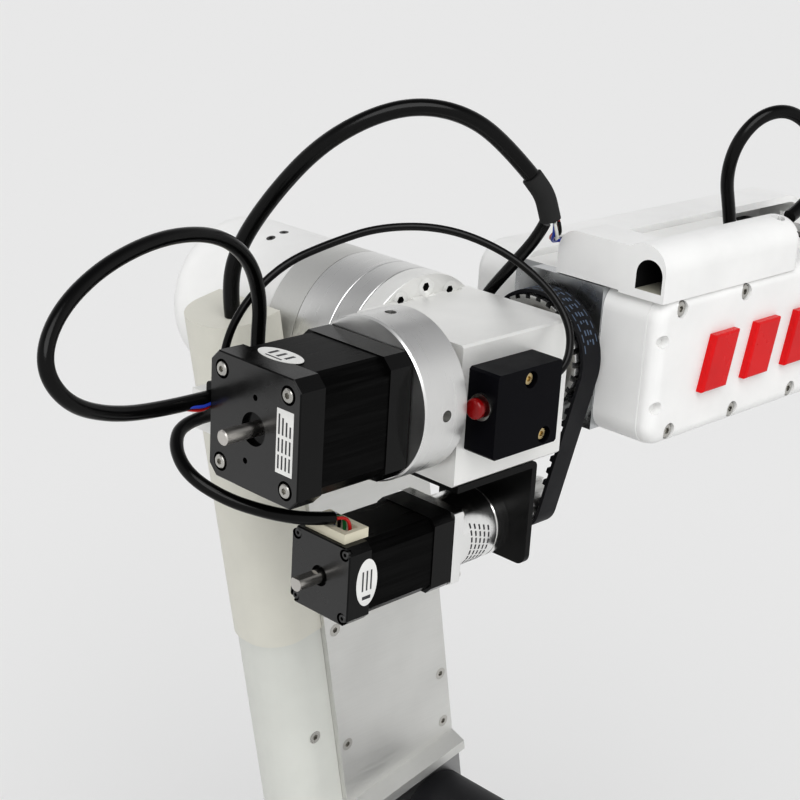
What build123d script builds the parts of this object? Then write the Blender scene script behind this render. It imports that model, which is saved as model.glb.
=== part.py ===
"""Desktop six-axis robot arm, modelled as the pieces it is assembled from.

Frame: origin on the J1 axis at the underside of the base, +Z up, +X forward, +Y to the
side that carries the upper arm.  Units are millimetres.  The arm stands at its rest pose:
upper arm leaning back, forearm level and pointing forward.
"""
import os
from math import cos, pi, radians, sin, tan

from build123d import *

# ---- driving dimensions of the arm ------------------------------------------------------
J2_FORWARD = 64.2          # J2 axis ahead of the J1 axis
J2_HEIGHT = 169.8          # J2 axis above the underside of the base
UPPER_ARM = 305.0          # J2 axis to J3 axis
LEAN = 11.5                # backward lean of the upper arm at rest, degrees
J4_RISE = 5.0              # J4 axis above the J3 axis
FOREARM = 222.6            # J3 axis to J5 axis, along the forearm
TOOL_REACH = 36.2          # J5 axis to the face of the tool flange
RUN_FIT = 0.08             # radial clearance of a shaft that turns in a hole
SEAT_FIT = 0.05            # radial clearance of a piece that is seated and does not move
GAP = 0.3                  # gap between faces that pass each other

# ---- places worked out from them --------------------------------------------------------
J3_X = J2_FORWARD - UPPER_ARM * sin(radians(LEAN))
J3_Z = J2_HEIGHT + UPPER_ARM * cos(radians(LEAN))
J3_FROM_MOTOR = 104.0      # J3 axis ahead of the rear face of the J5 motor
ELBOW = Pos(J3_X - J3_FROM_MOTOR, 0, J3_Z + J4_RISE)     # forearm frame: X along the J4 axis
ARM = Pos(J2_FORWARD, 0, J2_HEIGHT) * Rot(0, -LEAN, 0)   # upper arm frame: Z along the arm
J5_X = J3_FROM_MOTOR + FOREARM                           # in the forearm frame

# ---- motors and screws ------------------------------------------------------------------
# name: (side of the square, screw spacing, corner chamfer)
NEMA = {11: (28.2, 23.0, 3.0), 14: (35.2, 26.0, 3.5), 17: (42.3, 31.0, 4.5), 23: (56.4, 47.1, 4.5)}
MOTOR_SHAFT = 2.5          # radius of the small motors' shafts
CAP_EDGE = 0.4             # chamfer round the end faces of a motor's caps

# ---- base and turret --------------------------------------------------------------------
PLATE_TOP = 10.0
HOUSING_TOP = 96.0
TURRET_TOP = 114.0
BASE_HOLES = (70.0, 62.0)  # half spacing of the mounting holes
BASE_HOLE_R = 4.5
J1_MOTOR_X = -58.0
BRACKET_Y = (28.0, 40.0)   # upright plate that carries the J2 gearbox

# ---- upper arm --------------------------------------------------------------------------
ARM_Y = (64.0, 79.0)       # flat bar of the upper arm
ARM_HALF = 32.0            # half width of the bar and radius of the J3 drum
FOOT_Y = 42.5              # inner face of the thick lower end
LEDGE = 97.0               # height of the shelf across the bar above the J2 axis
SHELF_Y = 57.0             # how far the shelf sticks out
UNDER_Y = 61.0             # face of the bar below the shelf
BUFFER = (13.0, 65.5)      # centre of the round buffer, across and along the arm
BUFFER_R = 20.0
COVER_Y = (66.0, 100.0)    # cable cover behind the bar
COVER_BACK = 57.0          # how far the cover reaches behind the arm's centre line
COVER_SEAM = 188.0         # height above the J2 axis where the two covers meet

# ---- elbow ------------------------------------------------------------------------------
BLOCK_X = (70.3, 125.0)
BLOCK_Y = (-21.5, 28.6)
BLOCK_Z = (-30.5, 19.5)
FLANGE_Y = 36.6            # far face of the elbow's round flange
FLANGE_SCREW_R = 27.2
RING_EDGE = 0.25           # chamfer on the edges of the flange and the drum's rings
FLANGE_SCREW_ANGLES = (62.5, 90.0, 117.5, 242.5, 270.0, 297.5)
COLLAR_X = (47.8, 67.3)
COLLAR_R = 28.0
J4_SHAFT_R = 12.0
SMALL_MOTOR_X = (30.7, 80.6)
SMALL_MOTOR_DROP = 58.9    # J4 motor axis below the J4 axis
BELT_X = (132.0, 142.0)
BELT_PITCH = 5.08
BIG_TEETH = 27
SMALL_TEETH = 10
TOOTH_DEPTH = 1.3
BELT_THICK = 1.3
SWITCH_X = (74.0, 106.0)
SWITCH_Y = (-34.5, -21.5)
SWITCH_Z = (-17.5, 12.0)
PLUNGER_Y = -28.5
PLUNGER_TRAVEL = 1.3

# ---- forearm ----------------------------------------------------------------------------
MOTOR_LENGTH = 47.6
FRAME_X = (145.0, 276.0)
FRAME_Y = (-19.0, 27.0)
FRAME_HALF = 27.0
REAR_Y = 20.0              # far side of the frame's rear block
COVER_X = (145.6, 262.0)
LID_Y = (-44.5, -38.5)
COVER_HALF = 28.0
COVER_CORNER = 9.0         # corner radius of the near cover and its lid
LID_EDGE = 5.0             # rounding of the lid's outer edge
LID_SEAT = -41.0           # seats of the lid screws
LID_SCREW_X = 158.0
LID_SCREW_PITCH = 39.4
LID_SCREW_Z = 22.8
DUCT_END = 232.0
FORK_INNER = 28.0
FORK_OUTER = 36.0
J5_PULLEY_R = 15.0
IDLER_X = 175.0
SCREW_LEAD_R = 4.0
BAR_RAISE = 3.0


# ---- helpers ----------------------------------------------------------------------------
TURN = {"+X": Rot(0, 90, 0), "-X": Rot(0, -90, 0), "+Y": Rot(-90, 0, 0), "-Y": Rot(90, 0, 0),
        "+Z": Rot(0, 0, 0), "-Z": Rot(180, 0, 0)}


def box(x, y, z):
    """A block between three (low, high) pairs."""
    spans = (x, y, z)
    return Pos(*[(a + b) / 2 for a, b in spans]) * Box(*[b - a for a, b in spans])


def rod(axis, radius, span, centre=(0, 0)):
    """A cylinder along X, Y or Z over a (low, high) span, through the other two coordinates."""
    middle = (span[0] + span[1]) / 2
    place = {"X": (middle, centre[0], centre[1]), "Y": (centre[0], middle, centre[1]),
             "Z": (centre[0], centre[1], middle)}[axis]
    return Pos(*place) * TURN["+" + axis] * Cylinder(radius, span[1] - span[0])


def tube(axis, outer, inner, span, centre=(0, 0)):
    return rod(axis, outer, span, centre) - rod(axis, inner, (span[0] - 1, span[1] + 1), centre)


def soften(shape, axis, radius):
    """Fillet the edges that run along an axis."""
    return fillet(shape.edges().filter_by(axis), radius)


def slab(axis, wide, high, corner, span, centre=(0, 0)):
    """A rounded rectangle drawn across an axis and thickened along it."""
    plane = {"X": Plane.YZ, "Y": Plane.XZ, "Z": Plane.XY}[axis]
    shape = extrude(plane * RectangleRounded(wide, high, corner), amount=span[1] - span[0])
    if axis == "Y":
        return Pos(centre[0], span[1], centre[1]) * shape
    place = {"X": (span[0], centre[0], centre[1]), "Z": (centre[0], centre[1], span[0])}[axis]
    return Pos(*place) * shape


def group(shapes):
    """Several separate solids kept in one node."""
    solids = []
    for shape in shapes:
        solids += shape.solids()
    return Compound(children=solids)


def screw(size, length, flat=False, spare=0.0, drive=True):
    """A socket screw along Z: its seat is at Z=0, its head up, its shank down."""
    shank = Pos(0, 0, -length / 2) * Cylinder(size / 2 + spare, length + 2 * spare)
    head_r = 0.9 * size + spare
    if flat:
        sink = head_r - size / 2
        head = Pos(0, 0, -sink / 2) * Cone(size / 2, head_r, sink)
        top = 0.0
    else:
        top = 0.9 * size
        head = Pos(0, 0, top / 2) * Cylinder(head_r, top)
        head = chamfer(head.edges().group_by(Axis.Z)[-1], 0.12 * size)
    whole = head + shank
    if drive:
        depth = 0.45 * size
        key = extrude(RegularPolygon(0.42 * size, 6), amount=depth)
        whole -= Pos(0, 0, top - depth) * key
    return whole


def fasten(places, size, length, flat=False):
    """Screws at (x, y, z, direction) places, and the tool that drills for them."""
    made = [Pos(x, y, z) * TURN[way] * screw(size, length, flat) for x, y, z, way in places]
    shank_r = size / 2 + SEAT_FIT
    cuts = []
    for x, y, z, way in places:
        hole = Pos(0, 0, -length / 2) * Cylinder(shank_r, length + 0.2)
        if flat:
            head_r = 0.9 * size + SEAT_FIT
            sink = head_r - shank_r
            hole += Pos(0, 0, -sink / 2) * Cone(shank_r, head_r, sink)
        cuts.append(Pos(x, y, z) * TURN[way] * hole)
    return made, cuts


def drill(shape, cuts):
    for cut in cuts:
        shape = shape - cut
    return shape


def motor(frame_size, length, bore):
    """A stepper motor along +X, rear face at X=0: two end caps and the plates between them."""
    side, spacing, corner = NEMA[frame_size]
    cap = min(10.0, 0.22 * length)
    half = side / 2

    def prism(span, width, cut):
        shape = box(span, (-width, width), (-width, width))
        return chamfer(shape.edges().filter_by(Axis.X), cut)

    rear = prism((0, cap), half, corner * 0.8)
    front = prism((length - cap, length), half, corner * 0.8)
    body = chamfer(rear.edges().group_by(Axis.X)[0], CAP_EDGE)
    body += prism((cap, length - cap), half - 0.35, corner * 1.25)
    body += chamfer(front.edges().group_by(Axis.X)[-1], CAP_EDGE)
    body = body - rod("X", bore, (-1, length + 1))
    body = body - rod("X", 0.13 * side, (-1, 1.6))
    for y in (-spacing / 2, spacing / 2):
        for z in (-spacing / 2, spacing / 2):
            body = body - rod("X", 0.075 * side, (-1, 1.8), (y, z))
            body = body - rod("X", rear_screw_size(frame_size) / 2 + SEAT_FIT, (1, 2.8), (y, z))
    return body


def rear_screw_size(frame_size):
    return 0.061 * NEMA[frame_size][0]


def motor_screws(frame_size):
    """The four screws sunk in a motor's rear cap, heads towards -X."""
    spacing = NEMA[frame_size][1]
    return [Pos(1.8, y, z) * TURN["-X"] * screw(rear_screw_size(frame_size), 0.7)
            for y in (-spacing / 2, spacing / 2) for z in (-spacing / 2, spacing / 2)]


def pulley(teeth, span, bore):
    """A toothed belt pulley along X, with square teeth."""
    tip = teeth * BELT_PITCH / (2 * pi) - 0.25
    wheel = rod("X", tip, span)
    tooth_gap = 0.42 * BELT_PITCH
    for i in range(teeth):
        slot = box((span[0] - 1, span[1] + 1), (-tooth_gap / 2, tooth_gap / 2),
                   (tip - TOOTH_DEPTH, tip + 2))
        wheel = wheel - Rot(360 * (i + 0.5) / teeth, 0, 0) * slot
    return wheel - rod("X", bore, (span[0] - 1, span[1] + 1))


def belt_loop(radius_a, radius_b, offset, thick):
    """The outline of a belt round a pulley at the origin and one at an (across, up) offset."""
    def hull(extra):
        rounds = Circle(radius_a + extra) + Pos(*offset) * Circle(radius_b + extra)
        return make_hull(rounds.edges())
    return hull(thick) - hull(0)


def cable(points, diameter, name, bend=0.45):
    """A round cable along straight runs joined by tangent arcs, in the forearm frame."""
    path_points = [Vector(*p) for p in points]
    runs = [b - a for a, b in zip(path_points, path_points[1:])]
    radii = []
    for before, after in zip(runs, runs[1:]):
        turn = radians(before.get_angle(after))
        radii.append(bend * min(before.length, after.length) / tan(turn / 2))
    path = FilletPolyline(*path_points, radius=radii)
    section = Plane(origin=path_points[0], z_dir=runs[0]) * Circle(diameter / 2)
    solid = sweep(section, path=path)
    expected = pi * diameter ** 2 / 4 * path.length
    print(f"{name}: length {path.length:.0f}, radii {[round(r) for r in radii]}, "
          f"volume ratio {solid.volume / expected:.3f}")
    return solid


def save(name, shape):
    export_step(shape, os.path.join("parts", name + ".step"))


# ---- base -------------------------------------------------------------------------------
def make_base():
    plate = slab("Z", 190, 150, 12, (0, PLATE_TOP), (-10, 0))
    plate = chamfer(plate.edges().group_by(Axis.Z)[-1], 1.0)
    for x in (-BASE_HOLES[0], BASE_HOLES[0]):
        for y in (-BASE_HOLES[1], BASE_HOLES[1]):
            plate = plate - rod("Z", BASE_HOLE_R, (-1, PLATE_TOP + 1), (x, y))

    wall = 4.0
    length, width = 158.0, 112.0
    middle = -12.0
    shell = slab("Z", length, width, 24, (PLATE_TOP, HOUSING_TOP), (middle, 0))
    shell = fillet(shell.edges().group_by(Axis.Z)[-1], 3.0)
    shell -= slab("Z", length - 2 * wall, width - 2 * wall, 20, (PLATE_TOP - 1, HOUSING_TOP - 6),
                  (middle, 0))
    shell += rod("Z", 42, (70, HOUSING_TOP - 6))
    shell -= rod("Z", 36 + SEAT_FIT, (60, HOUSING_TOP + 1))
    rear = middle - length / 2
    for y in (-24, 24):
        shell -= rod("X", 9.0, (rear - 1, rear + wall + 1), (y, 46))

    lid_places = [(x, y, HOUSING_TOP, "+Z") for x in (-80, 50) for y in (-42, 42)]
    screws, cuts = fasten(lid_places, 5, 12)
    for x, y, _, _ in lid_places:
        shell += rod("Z", 7, (HOUSING_TOP - 20, HOUSING_TOP - 6), (x, y))
    shell = drill(shell, cuts)
    save("base_plate", plate)
    save("base_housing", shell)
    save("base_screws", group(screws))

    connectors = []
    for y in (-24, 24):
        socket = rod("X", 9.0 - SEAT_FIT, (rear - 10, rear + 10), (y, 46))
        socket += rod("X", 12.0, (rear - 4, rear - 0.05), (y, 46))
        socket -= rod("X", 7.0, (rear - 11, rear + 2), (y, 46))
        connectors.append(socket)
    save("base_connectors", group(connectors))

    bearings = [tube("Z", 36, 25 + RUN_FIT, span) for span in ((72, 80), (86, 94))]
    save("j1_bearings", group(bearings))

    # the J1 gear motor stands beside the spindle, shaft up, and drives it by a belt
    stepper = Pos(J1_MOTOR_X, 0, PLATE_TOP) * Rot(0, -90, 0) * motor(17, 34, MOTOR_SHAFT + 1)
    top = PLATE_TOP + 34
    gear = Pos(J1_MOTOR_X, 0, 0) * tube("Z", 18, 4 + RUN_FIT, (top, top + 8))
    save("j1_gearmotor", group([stepper, gear]))
    loop = belt_loop(33, 9.5, (J1_MOTOR_X, 0), BELT_THICK)
    save("j1_belt", Pos(0, 0, 54) * extrude(loop, amount=12))
    small = rod("Z", 9.2, (54, 66), (J1_MOTOR_X, 0)) + rod("Z", 4, (46, 66), (J1_MOTOR_X, 0))
    save("j1_motor_pulley", small)


# ---- turret: turns on J1 ----------------------------------------------------------------
def make_turret():
    plate = slab("Z", 160, 116, 20, (104, TURRET_TOP), (25, 0))
    plate = chamfer(plate.edges().group_by(Axis.Z)[-1], 1.0)
    plate += rod("Z", 25, (48, 104)) + rod("Z", 32.7, (54, 66)) + rod("Z", 45, (98, 104))
    plate -= rod("Z", 12, (40, 120))
    foot_places = [(x, y, TURRET_TOP + 8, "+Z") for x in (36, 92) for y in (-4, 18)]
    foot_screws, foot_cuts = fasten(foot_places, 6, 16)

    outline = Pos(J2_FORWARD, J2_HEIGHT) * Circle(40) + Pos(64, TURRET_TOP + 4) * Rectangle(92, 8)
    outline = Plane.XZ * make_hull(outline.edges())
    upright = Pos(0, BRACKET_Y[1], 0) * extrude(outline, amount=BRACKET_Y[1] - BRACKET_Y[0])
    upright += box((18, 110), (-14, BRACKET_Y[0]), (TURRET_TOP, TURRET_TOP + 8))
    for x in (18, 102):
        rib = Plane.YZ * Polyline((BRACKET_Y[0], TURRET_TOP + 8), (-6, TURRET_TOP + 8),
                                  (BRACKET_Y[0], TURRET_TOP + 30), close=True)
        upright += Pos(x, 0, 0) * extrude(make_face(rib), amount=8, dir=(1, 0, 0))
    upright -= rod("Y", 26, (BRACKET_Y[0] - 1, BRACKET_Y[1] + 1), (J2_FORWARD, J2_HEIGHT))
    half = NEMA[23][1] / 2
    gear_places = [(J2_FORWARD + sx * half, BRACKET_Y[1], J2_HEIGHT + sz * half, "+Y")
                   for sx in (-1, 1) for sz in (-1, 1)]
    gear_screws, gear_cuts = fasten(gear_places, 5, 18, flat=True)
    upright = drill(upright, foot_cuts + gear_cuts)
    save("turret_plate", drill(plate, foot_cuts))
    save("turret_bracket", upright)
    save("turret_screws", group(foot_screws + gear_screws))

    place = Pos(J2_FORWARD, 0, J2_HEIGHT)
    gearbox = rod("Y", 26 - SEAT_FIT, (20, BRACKET_Y[1] - 1)) + rod("Y", 28, (-44, 20))
    gearbox += slab("Y", 57, 57, 5, (20, BRACKET_Y[0] - 0.01))
    gearbox += slab("Y", 57, 57, 5, (-50, -44))
    gearbox -= rod("Y", 8 + RUN_FIT, (0, 60))
    gearbox = place * gearbox
    gearbox = drill(gearbox, gear_cuts)
    stepper = place * Pos(0, -50 - 76, 0) * Rot(0, 0, 90) * motor(23, 76, 3.3)
    save("j2_gearmotor", group([gearbox, stepper]))


# ---- upper arm: turns on J2 -------------------------------------------------------------
def make_upper_arm():
    thick = ARM_Y
    top = UPPER_ARM
    # the flat bar with a round head, in the arm's own frame
    bar = box((-ARM_HALF, ARM_HALF), thick, (0, top)) + rod("Y", ARM_HALF, thick, (0, top))
    foot = rod("Y", 42, (FOOT_Y, thick[1]))
    shelf = Plane.YZ * Polyline((SHELF_Y, LEDGE - 6), (thick[1], LEDGE - 6), (thick[1], LEDGE + 1.5),
                                (thick[0], LEDGE + 1.5), (SHELF_Y, LEDGE - 1.5), close=True)
    shelf = Pos(-ARM_HALF, 0, 0) * extrude(make_face(shelf), amount=2 * ARM_HALF, dir=(1, 0, 0))
    under = box((-ARM_HALF, ARM_HALF), (UNDER_Y, thick[1]), (0, LEDGE - 6))
    arm = bar + under + foot + shelf
    arm -= rod("Y", 22 + SEAT_FIT, (thick[0] - 1, thick[1] + 1), (0, top))
    arm -= rod("Y", 20 + SEAT_FIT, (FOOT_Y - 1, 60))
    # lightening pocket in the far face
    arm -= slab("Y", 44, 150, 8, (thick[1] - 7, thick[1] + 1), (0, 165))

    plate_places = [(x, thick[0], up, "-Y") for x, up in ((-27, 185), (-28, 128), (28, 131), (27, 106))]
    small, small_cuts = fasten(plate_places, 3, 8, flat=True)
    hub_places = [(14 * cos(radians(a)), thick[1], 14 * sin(radians(a)), "+Y")
                  for a in (45, 135, 225, 315)]
    hub, hub_cuts = fasten(hub_places, 5, 24)
    arm = drill(arm, small_cuts + hub_cuts)

    # hub: the disc and shaft that the J2 gearbox turns
    disc = rod("Y", 20, (FOOT_Y, 60)) + rod("Y", 8, (2, FOOT_Y))
    disc = drill(disc, hub_cuts)

    # round rubber buffer bolted to the bar below the shelf
    buffer = rod("Y", BUFFER_R, (28, UNDER_Y - 0.02), BUFFER)
    buffer = fillet(buffer.edges().group_by(Axis.Y)[0], 2)
    buffer_places = [(BUFFER[0] + x, thick[1], BUFFER[1], "+Y") for x in (-8, 8)]
    buffer_screws, buffer_cuts = fasten(buffer_places, 4, 20)
    arm = drill(arm, buffer_cuts)
    buffer = drill(buffer, buffer_cuts)

    # drum round the J3 gearbox: two rings bolted to the head of the bar
    drum = []
    for span, bore in (((FLANGE_Y + GAP, 47.0), 26 + RUN_FIT), ((47.2, thick[0] - 0.1), 22 + SEAT_FIT)):
        band = rod("Y", ARM_HALF, span, (0, top))
        band = chamfer(band.edges().filter_by(GeomType.CIRCLE), RING_EDGE)
        drum.append(band - rod("Y", bore, (30, 70), (0, top)))

    gearbox = rod("Y", 22, (47.2, 63.8), (0, top)) + rod("Y", 21.5, (63.8, 84.2), (0, top))
    gearbox -= rod("Y", 6 + RUN_FIT, (40, 75), (0, top))
    stepper = Pos(0, 84 + 48, top) * Rot(0, 0, -90) * motor(17, 48, MOTOR_SHAFT + 0.5)

    cap_end = 140.0
    cap = rod("Y", ARM_HALF, (thick[1] + 0.1, cap_end), (0, top))
    cap = fillet(cap.edges().group_by(Axis.Y)[-1], 12)
    hollow = rod("Y", 29.5, (thick[1] - 1, cap_end - 3), (0, top))
    cap -= fillet(hollow.edges().group_by(Axis.Y)[-1], 10)
    cap_places = []
    for a in (84, 96, 202, 214, 322, 334):
        cap_places.append((a, 102.0))
    cap_screws = []
    for a, y in cap_places:
        turn = Pos(0, y, top) * Rot(0, 90 - a, 0)
        cap_screws.append(turn * Pos(0, 0, ARM_HALF) * screw(2, 2.3, flat=True))
        cap -= turn * Pos(0, 0, ARM_HALF - 1.2) * Cylinder(1 + SEAT_FIT, 6)
        cap -= turn * Pos(0, 0, ARM_HALF - 0.4) * Cone(1 + SEAT_FIT, 1.8 + SEAT_FIT, 0.8)

    covers = [arm_cover(COVER_SEAM + 0.3, top + 22, 0.0, 6.0), arm_cover(44.0, COVER_SEAM, 0.8, 0.0)]
    cover_places = [(-42.0, COVER_Y[0] + 0.8, up, "-Y") for up in (139, 70)]
    cover_screws, cover_cuts = fasten(cover_places, 3, 6, flat=True)
    covers[1] = drill(covers[1], cover_cuts)

    save("upper_arm", ARM * arm)
    save("j2_hub", ARM * disc)
    save("j3_bearing_ring", ARM * drum[0])
    save("j3_gearbox_ring", ARM * drum[1])
    save("j3_gearmotor", ARM * (gearbox + stepper))
    save("j3_motor_cap", ARM * cap)
    save("arm_cover_upper", ARM * covers[0])
    save("arm_cover_lower", ARM * covers[1])
    save("arm_buffer", ARM * buffer)
    save("arm_screws", ARM * group(small + hub + buffer_screws + cap_screws + cover_screws))


def arm_cover(low, high, inset, taper):
    """A length of the printed cable cover behind the arm: rounded outside, hollow inside."""
    y_low, y_high = COVER_Y[0] + inset, COVER_Y[1] - inset
    back = -COVER_BACK + inset
    wall = 3.0
    outer = box((back, -ARM_HALF - 0.1), (y_low, y_high), (low, high))
    outer = fillet(outer.edges().filter_by(Axis.Z).group_by(Axis.X)[0], 15)
    hollow_back = back + wall + 2 * taper
    inner = box((hollow_back, -ARM_HALF + 1), (y_low + wall, y_high - wall), (low + wall, high - wall))
    inner = fillet(inner.edges().filter_by(Axis.Z).group_by(Axis.X)[0], 10)
    if taper:
        slope = Plane.XZ * Polyline((back - 1, high + 1), (back + 2 * taper, high + 1), (back + taper, high - 7),
                                    (back, high - 60), (back - 1, high - 60), close=True)
        outer -= Pos(0, y_high + 1, 0) * extrude(make_face(slope), amount=y_high - y_low + 2)
    return outer - inner


# ---- elbow: turns on J3 -----------------------------------------------------------------
def make_elbow():
    hub_centre = (J3_FROM_MOTOR, -J4_RISE)
    block = box(BLOCK_X, BLOCK_Y, BLOCK_Z)
    block = chamfer(block.edges().filter_by(Axis.X), 0.8)
    flange = rod("Y", ARM_HALF, (BLOCK_Y[1], FLANGE_Y), hub_centre)
    flange = chamfer(flange.edges().filter_by(GeomType.CIRCLE), RING_EDGE)
    housing = block + flange
    housing -= rod("X", 14, (60, 140))
    for span in ((BLOCK_X[0] - 1, BLOCK_X[0] + 9), (BLOCK_X[1] - 9, BLOCK_X[1] + 1)):
        housing -= rod("X", 17 + SEAT_FIT, span)
    places = []
    for angle in FLANGE_SCREW_ANGLES:
        places.append((hub_centre[0] + FLANGE_SCREW_R * cos(radians(angle)), BLOCK_Y[1],
                       hub_centre[1] + FLANGE_SCREW_R * sin(radians(angle)), "-Y"))
    flange_screws, flange_cuts = fasten(places, 4, 7, flat=True)
    # the countersinks scallop the top and bottom of the block
    for x, _, z, _ in places:
        housing -= rod("Y", 4.0, (BLOCK_Y[1] - 3, BLOCK_Y[1]), (x, z))
    housing = drill(housing, flange_cuts)
    housing -= rod("X", 4.0, (BLOCK_X[1] - 8, BLOCK_X[1] + 1), (23.5, 10.5))

    hub = rod("Y", 26, (FLANGE_Y + 0.02, 46.7), hub_centre)
    hub += rod("Y", 6, (46.7, 62), hub_centre)

    bearings = [tube("X", 17, J4_SHAFT_R + RUN_FIT, (BLOCK_X[0], BLOCK_X[0] + 8.9)),
                tube("X", 17, J4_SHAFT_R + RUN_FIT, (BLOCK_X[1] - 8.9, BLOCK_X[1]))]
    bearings.append(tube("X", 21, J4_SHAFT_R + 0.4, (COLLAR_X[1] + 0.5, BLOCK_X[0] - 0.02)))

    # limit switch box on the near side of the block
    switch = box(SWITCH_X, SWITCH_Y, SWITCH_Z)
    switch = chamfer(switch.edges().filter_by(Axis.Y), 0.8)
    switch -= rod("X", 2.2 + RUN_FIT, (SWITCH_X[0] - 1, SWITCH_X[0] + 14), (PLUNGER_Y, 0))
    switch_places = [(90.5, SWITCH_Y[0], 7.6, "-Y"), (99.5, SWITCH_Y[0], -13.8, "-Y")]
    for x, _, z, _ in switch_places:
        switch -= rod("Y", 3.0, (SWITCH_Y[0] - 1, SWITCH_Y[0] + 3.5), (x, z))
    sunk = [(x, y + 3.5, z, way) for x, y, z, way in switch_places]
    switch_screws, switch_cuts = fasten(sunk, 2.5, 16)
    switch = drill(switch, switch_cuts)
    nut = rod("X", 4.6, (SWITCH_X[0] - 1.6, SWITCH_X[0] - 0.02), (PLUNGER_Y, 0))
    nut -= rod("X", 2.2 + RUN_FIT, (60, 90), (PLUNGER_Y, 0))
    switch -= rod("X", 2.1, (SWITCH_X[1] - 4, SWITCH_X[1] + 1), (-30.0, 3.2))

    # bracket under the block that holds the J4 motor, bent from sheet
    sheet = 2.5
    under = BLOCK_Z[0] - 0.02
    bracket = box((72.5, 113.5), (-21.5, 22), (under - sheet, under))
    bracket += box((113.5 - sheet, 113.5), (-21.5, 22), (-71, under))
    bracket = fillet(bracket.edges().filter_by(Axis.Y).group_by(Axis.Z)[-1].sort_by(Axis.X)[-1], 2.4)
    bracket = fillet(bracket.edges().filter_by(Axis.X).group_by(Axis.Z)[0], 4)
    bracket -= rod("X", 4.5, (100, 120), (0, -SMALL_MOTOR_DROP))
    under_places = [(x, y, under - sheet, "-Z") for x in (80, 104) for y in (-14, 14)]
    under_screws, under_cuts = fasten(under_places, 3, 8)
    face_places = [(113.5, 10 * cos(radians(a)), -SMALL_MOTOR_DROP + 10 * sin(radians(a)), "+X")
                   for a in (40, 140, 220, 320)]
    face_screws, face_cuts = fasten(face_places, 2.5, 6)
    bracket = drill(bracket, under_cuts + face_cuts)
    housing = drill(housing, under_cuts + switch_cuts)

    # J4 motor with its planetary gearbox
    drop = Pos(SMALL_MOTOR_X[0], 0, -SMALL_MOTOR_DROP)
    stepper = drop * motor(11, SMALL_MOTOR_X[1] - SMALL_MOTOR_X[0], MOTOR_SHAFT + RUN_FIT)
    x0 = SMALL_MOTOR_X[1] + 0.05
    square = slab("X", 28.0, 28.0, 2, (x0, x0 + 4.5), (0, -SMALL_MOTOR_DROP))
    can = rod("X", 13.4, (x0 + 4.4, 110.9), (0, -SMALL_MOTOR_DROP))
    can -= tube("X", 15, 13.0, (104.0, 104.8), (0, -SMALL_MOTOR_DROP))
    gearbox = square + can - rod("X", 3 + RUN_FIT, (x0 + 12, 120), (0, -SMALL_MOTOR_DROP))
    ear_places = [(x0 + 4.5, y, -SMALL_MOTOR_DROP + z, "+X") for y in (-11.2, 11.2) for z in (-11.2, 11.2)]
    ear_screws, ear_cuts = fasten(ear_places, 2, 4)
    for x, y, z, _ in ear_places:
        gearbox -= rod("X", 2.1, (x0 + 4.4, x0 + 8), (y, z))
    gearbox = drill(gearbox, ear_cuts + face_cuts)

    plug = box((32.4, 43.2), (-9.5, 9.5), (-SMALL_MOTOR_DROP + 14.15, -SMALL_MOTOR_DROP + 17.6))
    plug -= box((35.0, 40.6), (-7.5, 7.5), (-SMALL_MOTOR_DROP + 15.4, -SMALL_MOTOR_DROP + 18))

    belt = make_j4_belt()
    junction = cable(JUNCTION_POINTS, 7.6, "cable_junction")

    # strip behind the J5 motor that holds the three motor and switch cables
    strip = box((20, 71.5), (33.2, 36.0), (-20, -6)) + box((20, 46), (36.0, 55), (-20, -6))
    strip += box((66, 80), (29, 36.0), (-20, -6))
    strip -= rod("Y", ARM_HALF + 0.05, (20, 60), hub_centre)
    strip_places = [(66.0, 31.2, -13.0, "-X")]
    strip_screws, strip_cuts = fasten(strip_places, 2, 15)
    strip = drill(strip, strip_cuts)
    housing = drill(housing, strip_cuts)

    save("elbow_housing", ELBOW * housing)
    save("j3_output_hub", ELBOW * drill(hub, flange_cuts))
    save("j4_bearings", ELBOW * group(bearings))
    save("limit_switch_box", ELBOW * switch)
    save("j4_motor_bracket", ELBOW * bracket)
    save("j4_motor", ELBOW * stepper)
    save("j4_gearbox", ELBOW * gearbox)
    save("j4_motor_connector", ELBOW * plug)
    save("j4_belt", ELBOW * belt)
    save("cable_junction", ELBOW * junction)
    save("cable_bracket", ELBOW * strip)
    rear_screws = [drop * s for s in motor_screws(11)]
    save("elbow_screws", ELBOW * group(flange_screws + switch_screws + under_screws + face_screws
                                       + ear_screws + strip_screws + rear_screws + [nut]))

    plunger = rod("X", 2.2, (SWITCH_X[0] - 4.0, SWITCH_X[0] + 8), (PLUNGER_Y, 0))
    button = rod("X", 3.6, (SWITCH_X[0] - 5.2, SWITCH_X[0] - 1.8 - PLUNGER_TRAVEL), (PLUNGER_Y, 0))
    button = fillet(button.edges().group_by(Axis.X)[0], 1.2)
    save("limit_switch_plunger", ELBOW * (plunger + button))

    wheel = Pos(0, 0, -SMALL_MOTOR_DROP) * (pulley(SMALL_TEETH, (BELT_X[0] - 1, BELT_X[1] + 1), 1)
                                            + rod("X", 3, (96, BELT_X[1] + 1))
                                            + rod("X", 6, (126, BELT_X[0] - 1)))
    save("j4_motor_pulley", ELBOW * wheel)
    x0 = SMALL_MOTOR_X[0]
    rotor = rod("X", MOTOR_SHAFT, (x0 - 10.5, SMALL_MOTOR_X[1] - 2), (0, -SMALL_MOTOR_DROP))
    rotor -= box((x0 - 12, x0 - 2), (-3, 3), (-SMALL_MOTOR_DROP + 1.9, -SMALL_MOTOR_DROP + 4))
    save("j4_rotor", ELBOW * rotor)


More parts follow.
